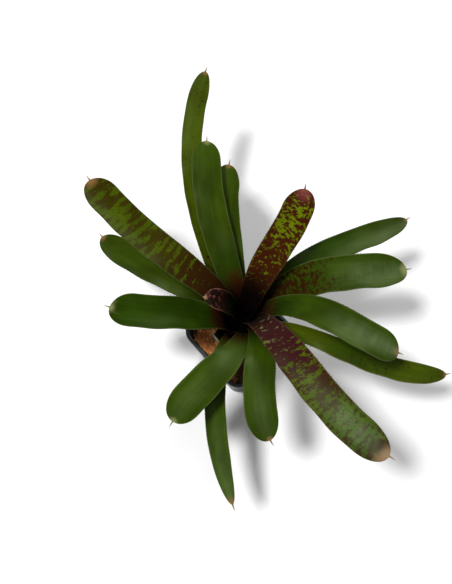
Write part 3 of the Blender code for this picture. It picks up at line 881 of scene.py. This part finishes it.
    def with_bloom_and_sheen(self, ground):
        """Pale bloom of fine scales in faint cross-bands, with a painted sheen, strongest along the
        middle of the blade.
        """
        powder_and_sheen = self.times(
            self.ramp(self.scales, 0.25, 0.75, 0.35, 0.8), self.ramp(self.tone, 0.35, 0.65, 0.6, 1.0)
        )
        middle = self.ramp(self.across, *TO_MIDLINE)
        outwards = self.ramp(self.share, *TO_BLOOM_AND_SHEEN, 0.0, 0.55)
        return self.mix(self.times(powder_and_sheen, middle, self.given["bloom"], outwards), ground, BLOOM_AND_SHEEN)

    def turned_under(self, ground):
        """The underside is greyer, with the same scales in clearer bands, and dull red on the sheath."""
        sheathed = self.times(self.below, self.ramp(self.share, *TO_SHEATH, 0.0, 0.75))
        ground = self.mix(sheathed, ground, DULL_MAROON)
        grey_bands = self.times(
            self.ramp(self.scales, 0.35, 0.7, 0.2, 0.55), self.ramp(self.share, *TO_GREY_BANDS)
        )
        return self.mix(self.times(self.below, grey_bands), ground, UNDERSIDE)

    def roughness(self):
        """Duller below, and fully dull inside the cup."""
        rough = self.plus(self.swing(self.tone, 0.36, 0.46), self.times(self.below, 0.16))
        return self.between(self.ramp(self.cup_in_shade, 0.1, 0.8), rough, 1.0)


def leaf_material(leaf, skin):
    look = LOOKS[leaf.name]
    material, net, shader = new_finish(leaf.name)
    group = net.tree.nodes.new("ShaderNodeGroup")
    group.node_tree = skin
    for field in SKIN_COLOURS:
        group.inputs[field].default_value = (*getattr(look, field), 1.0)
    for field in SKIN_NUMBERS:
        group.inputs[field].default_value = getattr(look, field)
    group.inputs["end_size"].default_value = look.end_size * MM
    net.set_inputs(
        shader,
        {
            "Base Color": group.outputs["Color"],
            "Roughness": group.outputs["Roughness"],
            "Normal": net.bump(group.outputs["Relief"], 0.35, 0.0002),
            "Specular IOR Level": look.shine,
            "Specular Tint": SHINE_TINT,
        },
    )
    return material


def make_leaves():
    tree, skin = blade_tree(), LeafSkin().tree
    for number, leaf in enumerate(LEAVES):
        sheet = make_sheet(leaf, number)
        values = {"Seed": number + 1, "Material": leaf_material(leaf, skin)}
        if leaf.name in SHORT_TOOTHED:
            values["Tooth length"] = SHORT_TOOTH
        blade = grown(sheet, f"{leaf.name}_blade", tree, values)
        discard(sheet)
        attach(blade, "root")
        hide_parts(leaf.name)


# Pot, of dark slate-grey moulded plastic

POT_WIDTH = 70.0
POT_HEIGHT = 65.0
POT_BASE_WIDTH = 50.0
POT_TURN = 41.0
POT_CORNER = 11.0
POT_BASE_CORNER = 8.0
POT_WALL = 1.1
POT_FLOOR = 1.6
FLOOR_ROUND = 1.0
LIP_HEIGHT = 4.0
LIP_DEPTH = 1.8
LIP_SLOPE = 0.4
LIP_ROUND = 0.7
LIP_SHADOW = 0.6
BASE_ROUND = 1.0
BASE_ROUND_FROM = -60.0
BASE_ROUND_STEPS = 4
DRAIN_RADIUS = 3.0
DRAIN_INSET = 8.5
DRAIN_SIDES = 32
CORNER_STEPS = 17
ROUND_STEPS = 5
SHARP_ANGLE = 40.0
SLATE = (0.035, 0.042, 0.05)
POT_DUST = (0.16, 0.14, 0.11)


def turned(points, degrees):
    """Points turned about the Z axis."""
    turn = math.radians(degrees)
    x, y, z = np.asarray(points, float).T
    return np.column_stack(
        [x * math.cos(turn) - y * math.sin(turn), x * math.sin(turn) + y * math.cos(turn), z]
    )


def rounded_square(half, corner, height):
    """A square ring with round corners, anticlockwise, turned as the pot stands."""
    ring = []
    for quarter in range(4):
        for step in range(CORNER_STEPS):
            angle = math.radians(90.0 * (quarter + step / (CORNER_STEPS - 1)))
            turn = math.radians(90.0 * quarter + 45.0)
            x = (half - corner) * math.copysign(1.0, math.cos(turn)) + corner * math.cos(angle)
            y = (half - corner) * math.copysign(1.0, math.sin(turn)) + corner * math.sin(angle)
            ring.append((x, y, height))
    return turned(ring, POT_TURN)


def pot_half(height):
    """Half the pot's outer width at a height, below the lip."""
    base = 0.5 * POT_BASE_WIDTH
    return base + height / POT_HEIGHT * (0.5 * POT_WIDTH - LIP_DEPTH - base)


def pot_corner(height):
    return POT_BASE_CORNER + (POT_CORNER - POT_BASE_CORNER) * height / POT_HEIGHT


def quarter_round(height, half, start):
    """A quarter circle of the lip's radius about a point of the pot's section, from a start angle."""
    angles = np.radians(np.linspace(start, start + 90.0, ROUND_STEPS))
    return [(height + LIP_ROUND * math.sin(a), half + LIP_ROUND * math.cos(a)) for a in angles]


def pot_section():
    """Height and half width, up the outer skin, over the lip and down the inner wall to the floor."""
    lip_half = 0.5 * POT_WIDTH
    under_lip = POT_HEIGHT - LIP_HEIGHT
    inner = pot_half(POT_HEIGHT) - POT_WALL
    section = [(0.0, pot_half(0.0) - BASE_ROUND)]
    for angle in np.radians(np.linspace(BASE_ROUND_FROM, 0.0, BASE_ROUND_STEPS)):
        rise = BASE_ROUND * (1 + math.sin(angle))
        section.append((rise, pot_half(rise) - BASE_ROUND * (1 - math.cos(angle))))
    section += [(under_lip - LIP_SHADOW, pot_half(under_lip)), (under_lip, pot_half(under_lip))]
    section += [(under_lip + LIP_SLOPE, lip_half - LIP_ROUND)]
    section += quarter_round(under_lip + LIP_SLOPE + LIP_ROUND, lip_half - LIP_ROUND, -90.0)[1:]
    section += quarter_round(POT_HEIGHT - LIP_ROUND, lip_half - LIP_ROUND, 0.0)
    section += quarter_round(POT_HEIGHT - LIP_ROUND, inner + LIP_ROUND, 90.0)
    section += [(0.5 * POT_HEIGHT, pot_half(0.5 * POT_HEIGHT) - POT_WALL)]
    section += [(POT_FLOOR + FLOOR_ROUND, pot_half(POT_FLOOR) - POT_WALL)]
    section += [(POT_FLOOR, pot_half(POT_FLOOR) - POT_WALL - FLOOR_ROUND)]
    return section


def lofted(name, rings):
    """One closed body through rings of equal count, the first and last of them filled."""
    count = len(rings[0])
    points = [point for ring in rings for point in ring]
    faces = [tuple(reversed(range(count)))]
    for level in range(len(rings) - 1):
        for step in range(count):
            following = (step + 1) % count
            low, high = level * count, (level + 1) * count
            faces.append((low + step, low + following, high + following, high + step))
    top = (len(rings) - 1) * count
    faces.append(tuple(range(top, top + count)))
    return make_object(name, points, faces)


def drain_drills():
    """A short round bar through the floor at each drain hole."""
    inset = pot_half(0.0) - DRAIN_INSET
    places = [(x * inset, y * inset, 0.0) for x in (-1, 1) for y in (-1, 1)]
    turns = [2 * math.pi * step / DRAIN_SIDES for step in range(DRAIN_SIDES)]
    circle = np.array([(DRAIN_RADIUS * math.cos(a), DRAIN_RADIUS * math.sin(a), 0.0) for a in turns])
    low, high = np.array([0.0, 0.0, -POT_FLOOR]), np.array([0.0, 0.0, 2 * POT_FLOOR])
    return [
        lofted("drain", [circle + place + low, circle + place + high])
        for place in turned(places, POT_TURN)
    ]


def pot_material():
    """Slate plastic with a fine grain, dusty near the foot."""
    material, net, shader = new_finish("slate_plastic")
    where = net.add("ShaderNodeTexCoord").outputs["Object"]
    grain = net.noise(where, 2.0, scale=2600.0)
    dust = net.noise(where, 6.0, scale=70.0)
    near_foot = net.ramp(net.axis(where, "Z"), 0.0, 0.03, 0.5, 0.12)
    settled = net.times(net.ramp(dust, 0.5, 0.75), near_foot)
    net.set_inputs(
        shader,
        {
            "Base Color": net.mix(settled, SLATE, POT_DUST),
            "Roughness": net.swing(dust, 0.38, 0.55),
            "Normal": net.bump(grain, 0.25, 0.0001),
        },
    )
    return material


def make_pot():
    rings = []
    for height, half in pot_section():
        shrink = half - pot_half(height)
        rings.append(rounded_square(half, pot_corner(height) + shrink, height))
    pot = lofted("nursery_pot", rings)
    drills = drain_drills()
    for drill in drills:
        hole = pot.modifiers.new("drain", "BOOLEAN")
        hole.object = drill
        hole.solver = "EXACT"
    pot.data = as_evaluated(pot)
    pot.modifiers.clear()
    discard(*drills)
    coat(pot, pot_material())
    pot.data.shade_smooth()
    pot.data.set_sharp_from_angle(angle=math.radians(SHARP_ANGLE))
    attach(pot, "root")
    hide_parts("pot")


# Potting mix: bark chips, crumbs and a chunk of coconut husk

CHIP_CELL = 0.8
CHIP_WELD = 0.00001
MIX_TOP = 57.5
SHOWN_DEPTH = 5.0
CHIP_ROUGHNESS = 0.45
CHIP_ROUGH_SCALE = 420.0
CHIP_FRACTAL = (0.9, 2.1, 4)
CHIP_ROUGH_MIDDLE = 0.35
CHIP_ROUGH_MOST = 0.3
HUSK_PLACE = (-25.5, -6.0)
HUSK_REACH = 11.5
HUSK_RISE = 1.5
OPEN_INSET = 4.0
OPEN_DEPTH = 3.0
OPEN_SLOPE = 0.4
STEM_CLEAR = 1.0
CRUMB_KINDS = 5
CRUMB_JAG = (0.65, 1.15)
CRUMB_LENGTH = (1.2, 2.6)
CRUMB_WIDTH = (0.7, 1.3)
CRUMB_THICK = (0.35, 0.8)
CRUMB_SEED = 11
CRUMB_TILT = 0.5
FIBRE_SPREAD = (0.25, 0.25, 0.9)
BARK_COLOURS = ((0.03, 0.013, 0.006), (0.24, 0.11, 0.042))
HUSK_COLOURS = ((0.4, 0.12, 0.03), (0.95, 0.48, 0.17))
STEM_COLOURS = ((0.06, 0.035, 0.02), (0.22, 0.15, 0.09))


def bark_material(name, colours, grain, relief):
    """Chunks of differing tone, grained by a stretched noise that also roughens the surface."""
    material, net, shader = new_finish(name)
    where = net.add("ShaderNodeTexCoord").outputs["Object"]
    inputs = {"Vector": where, "Scale": 160.0}
    chunks = net.add("ShaderNodeTexVoronoi", inputs, feature="F1").outputs["Color"]
    fibre = net.noise(net.stretched(where, grain), 5.0)
    broad = net.noise(where, 5.0, scale=110.0)
    chunk_tone = net.ramp(net.axis(chunks, "X"), 0.0, 1.0, 0.35, 1.0)
    colour = net.mix(net.times(net.ramp(fibre, 0.32, 0.68), chunk_tone), *colours)
    net.set_inputs(
        shader,
        {
            "Base Color": net.scaled(colour, net.swing(broad, 0.5, 1.35)),
            "Normal": net.bump(fibre, 0.8, relief),
            "Roughness": 0.85,
            "Specular IOR Level": 0.25,
        },
    )
    return material


def make_bark_bed():
    """The solid's own chips, remeshed fine and roughened where the top of the mix shows."""
    shape = bmesh.new()
    shape.from_mesh(frame["nodes"]["substrate"].data)
    bmesh.ops.remove_doubles(shape, verts=shape.verts, dist=CHIP_WELD)
    bed = show("bark_bed", mesh_of(shape, "bark_bed"))
    remesh = bed.modifiers.new("fine", "REMESH")
    remesh.mode = "VOXEL"
    remesh.voxel_size = CHIP_CELL * MM
    bed.data = as_evaluated(bed)
    bed.modifiers.clear()
    mesh = bed.data
    points = np.empty(3 * len(mesh.vertices))
    normals = np.empty(3 * len(mesh.vertices))
    mesh.vertices.foreach_get("co", points)
    mesh.vertices.foreach_get("normal", normals)
    points, normals = points.reshape(-1, 3), normals.reshape(-1, 3)
    for index in np.flatnonzero(points[:, 2] > (MIX_TOP - SHOWN_DEPTH) * MM):
        place = Vector(points[index]) * CHIP_ROUGH_SCALE
        rough = noise.fractal(place, *CHIP_FRACTAL) - CHIP_ROUGH_MIDDLE
        points[index] += normals[index] * min(rough, CHIP_ROUGH_MOST) * CHIP_ROUGHNESS * MM
    mesh.vertices.foreach_set("co", points.ravel())
    mark_bed(mesh, points / MM, normals[:, 2])
    mesh.update()
    mesh.shade_smooth()
    return bed


def mesh_of(shape, name):
    """A mesh from a shape in the making, which is freed."""
    mesh = bpy.data.meshes.new(name)
    shape.to_mesh(mesh)
    shape.free()
    return mesh


def mark_bed(mesh, points, facing_up):
    """Marks the husk chunk, and the open top of the mix round it where loose flakes lie."""
    x, y, z = points.T
    on_husk = np.hypot(x - HUSK_PLACE[0], y - HUSK_PLACE[1]) < HUSK_REACH
    on_husk &= z > MIX_TOP + HUSK_RISE
    limit = pot_half(MIX_TOP) - POT_WALL - OPEN_INSET
    open_top = (np.abs(turned(points, -POT_TURN)[:, :2]) < limit).all(axis=1)
    open_top &= np.hypot(x - PLANT_X, y) > STEM_FOOT_RADIUS + STEM_CLEAR
    open_top &= (z > MIX_TOP - OPEN_DEPTH) & (facing_up > OPEN_SLOPE)
    store(mesh, "husk", on_husk)
    store(mesh, "open_top", open_top & ~on_husk)


def make_crumb(number, draw):
    """One loose flake of bark: a squashed, jagged block of a few faces."""
    shape = bmesh.new()
    bmesh.ops.create_icosphere(shape, subdivisions=1, radius=1.0)
    for corner in shape.verts:
        corner.co *= draw.uniform(*CRUMB_JAG)
    size = [draw.uniform(*limits) for limits in (CRUMB_LENGTH, CRUMB_WIDTH, CRUMB_THICK)]
    bmesh.ops.scale(shape, vec=Vector(size) * MM, verts=shape.verts)
    name = f"crumb_{number}"
    return bpy.data.objects.new(name, mesh_of(shape, name))


def crumb_tree():
    """Strews loose flakes over the open top of the mix."""
    net = Growth("loose_bark", {"Density": 120000.0, "Crumbs": None}, seed=4)
    inputs = {"Collection": net.given["Crumbs"], "Separate Children": True, "Reset Children": True}
    kinds = net.add("GeometryNodeCollectionInfo", inputs).outputs[0]
    points = net.scatter("open_top", 0.99)["Points"]
    spin = net.draw((-CRUMB_TILT, -CRUMB_TILT, 0.0), (CRUMB_TILT, CRUMB_TILT, 2 * math.pi))
    return net.end(net.stand(points, kinds, spin, net.draw(0.4, 1.3), {"Pick Instance": True}))


def fibre_tree():
    """Lays short curved fibres over the husk, each starting a little inside it."""
    sizes = {"Density": 3000000.0, "Length": 0.006, "Width": 0.00011}
    net = Growth("husk_fibres", sizes, seed=7)
    inputs = {
        "Resolution": 5,
        "Start": (-0.5, 0.0, -0.04),
        "Middle": (0.0, 0.0, 0.16),
        "End": (0.5, 0.0, -0.02),
    }
    arc = net.add("GeometryNodeCurveQuadraticBezier", inputs).outputs[0]
    inputs = {"Geometry": arc, "Scale": net.given["Length"]}
    sized = net.add("GeometryNodeTransform", inputs).outputs[0]
    inputs = {"Resolution": 3, "Radius": net.given["Width"]}
    ring = net.add("GeometryNodeCurvePrimitiveCircle", inputs).outputs[0]
    inputs = {"Curve": sized, "Profile Curve": ring, "Fill Caps": True}
    strand = net.add("GeometryNodeCurveToMesh", inputs).outputs[0]
    roots = net.scatter("husk", 0.5)
    lean = net.draw(tuple(-limit for limit in FIBRE_SPREAD), FIBRE_SPREAD)
    inputs = {0: roots["Rotation"], 1: net.add("FunctionNodeEulerToRotation", {0: lean}).outputs[0]}
    lie = net.add("FunctionNodeRotateRotation", inputs, rotation_space="LOCAL").outputs[0]
    return net.end(net.stand(roots["Points"], strand, lie, net.draw(0.35, 1.2), {}))


def make_mix():
    bed = make_bark_bed()
    bark = bark_material("bark", BARK_COLOURS, (900.0, 500.0, 900.0), 0.0006)
    husk = bark_material("husk", HUSK_COLOURS, (700.0, 220.0, 700.0), 0.0012)
    draw = np.random.default_rng(CRUMB_SEED)
    crumbs = bpy.data.collections.new("crumbs")
    scene.collection.children.link(crumbs)
    for number in range(CRUMB_KINDS):
        crumbs.objects.link(make_crumb(number, draw))
    flakes = grown(bed, "bark_flakes", crumb_tree(), {"Crumbs": crumbs, "Material": bark})
    fibres = grown(bed, "husk_fibres", fibre_tree(), {"Material": husk})
    discard(*list(crumbs.objects))
    bpy.data.collections.remove(crumbs)
    coat(bed, bark, husk)
    on_husk = np.empty(len(bed.data.vertices), np.float32)
    bed.data.attributes["husk"].data.foreach_get("value", on_husk)
    for face in bed.data.polygons:
        face.material_index = int(all(on_husk[corner] > 0.5 for corner in face.vertices))
    for piece in (bed, flakes, fibres):
        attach(piece, "root")
        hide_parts("substrate")


def coat_stem():
    """The stem keeps its solid and gets a dry, fibrous finish, with painted shade down inside the cup.
    """
    material, net, shader = new_finish("dry_stem")
    where = net.add("ShaderNodeTexCoord").outputs["Object"]
    fibre = net.noise(net.stretched(where, (900.0, 900.0, 120.0)), 4.0)
    dry = net.mix(net.swing(fibre), *STEM_COLOURS)
    # Painted shade: the stem's top, down in the cup, goes to near black.
    cup_in_shade = net.ramp(net.axis(where, "Z"), 0.07, 0.078)
    net.set_inputs(shader, {"Base Color": net.mix(cup_in_shade, dry, CUP_SHADE), "Roughness": 0.8})
    coat(frame["nodes"]["stem"], material)


# Studio and camera

VIEW_LIFT = 68.0
VIEW_DISTANCE = 550.0
VIEW_SHIFT = (-11.9, 32.6)
PHOTO_HEIGHT = 584
FOCAL_PIXELS = 691.0
SENSOR = 36.0
LIGHT_AIM = (0.0, 0.0, 0.1)
FLOOR_REACH = 4.0
FLOOR_PALE = 0.87
STUDIO_GLOW = 0.21


def place_camera():
    """The camera looks from -Y, steeply down, at a point beside the middle of the pot's rim."""
    lift = math.radians(VIEW_LIFT)
    ahead = Vector((0.0, math.cos(lift), -math.sin(lift)))
    above = Vector((0.0, math.sin(lift), math.cos(lift)))
    aim = Vector((VIEW_SHIFT[0], 0.0, POT_HEIGHT)) + above * VIEW_SHIFT[1]
    camera = bpy.data.objects.new("camera", bpy.data.cameras.new("camera"))
    camera.data.sensor_width = SENSOR
    camera.data.lens = FOCAL_PIXELS / PHOTO_HEIGHT * SENSOR
    camera.location = (aim - ahead * VIEW_DISTANCE) * MM
    camera.rotation_mode = "QUATERNION"
    camera.rotation_quaternion = ahead.to_track_quat("-Z", "Y")
    scene.collection.objects.link(camera)
    scene.camera = camera


def add_panel(name, place, size, power, shiny=True):
    """A soft square light that faces the plant, with or without highlights of its own."""
    lamp = bpy.data.lights.new(name, "AREA")
    lamp.size = size
    lamp.energy = power
    panel = bpy.data.objects.new(name, lamp)
    panel.location = place
    panel.visible_glossy = shiny
    panel.rotation_mode = "QUATERNION"
    panel.rotation_quaternion = (Vector(LIGHT_AIM) - Vector(place)).to_track_quat("-Z", "Y")
    scene.collection.objects.link(panel)


def make_studio():
    """A pale floor, an even glow all round and three soft lights."""
    shape = bmesh.new()
    bmesh.ops.create_grid(shape, x_segments=1, y_segments=1, size=FLOOR_REACH)
    floor = show("floor", mesh_of(shape, "floor"))
    material, net, shader = new_finish("pale_floor")
    pale = (FLOOR_PALE, FLOOR_PALE, FLOOR_PALE, 1.0)
    net.set_inputs(shader, {"Base Color": pale, "Roughness": 0.9, "Specular IOR Level": 0.1})
    coat(floor, material)
    world = bpy.data.worlds.new("studio")
    world.use_nodes = True
    backdrop = Net(world.node_tree)
    glow = {"Color": (1.0, 1.0, 1.0, 1.0), "Strength": STUDIO_GLOW}
    backdrop.set_inputs(world.node_tree.nodes["Background"], glow)
    scene.world = world
    scene.view_settings.view_transform = "Standard"
    add_panel("key", (-0.32, -0.2, 1.25), 0.15, 15.5, shiny=False)
    add_panel("top", (0.03, -0.15, 1.2), 0.25, 1.0)
    add_panel("back", (0.45, 1.2, 1.05), 0.6, 11.0)


make_leaves()
make_pot()
make_mix()
coat_stem()
make_studio()
place_camera()
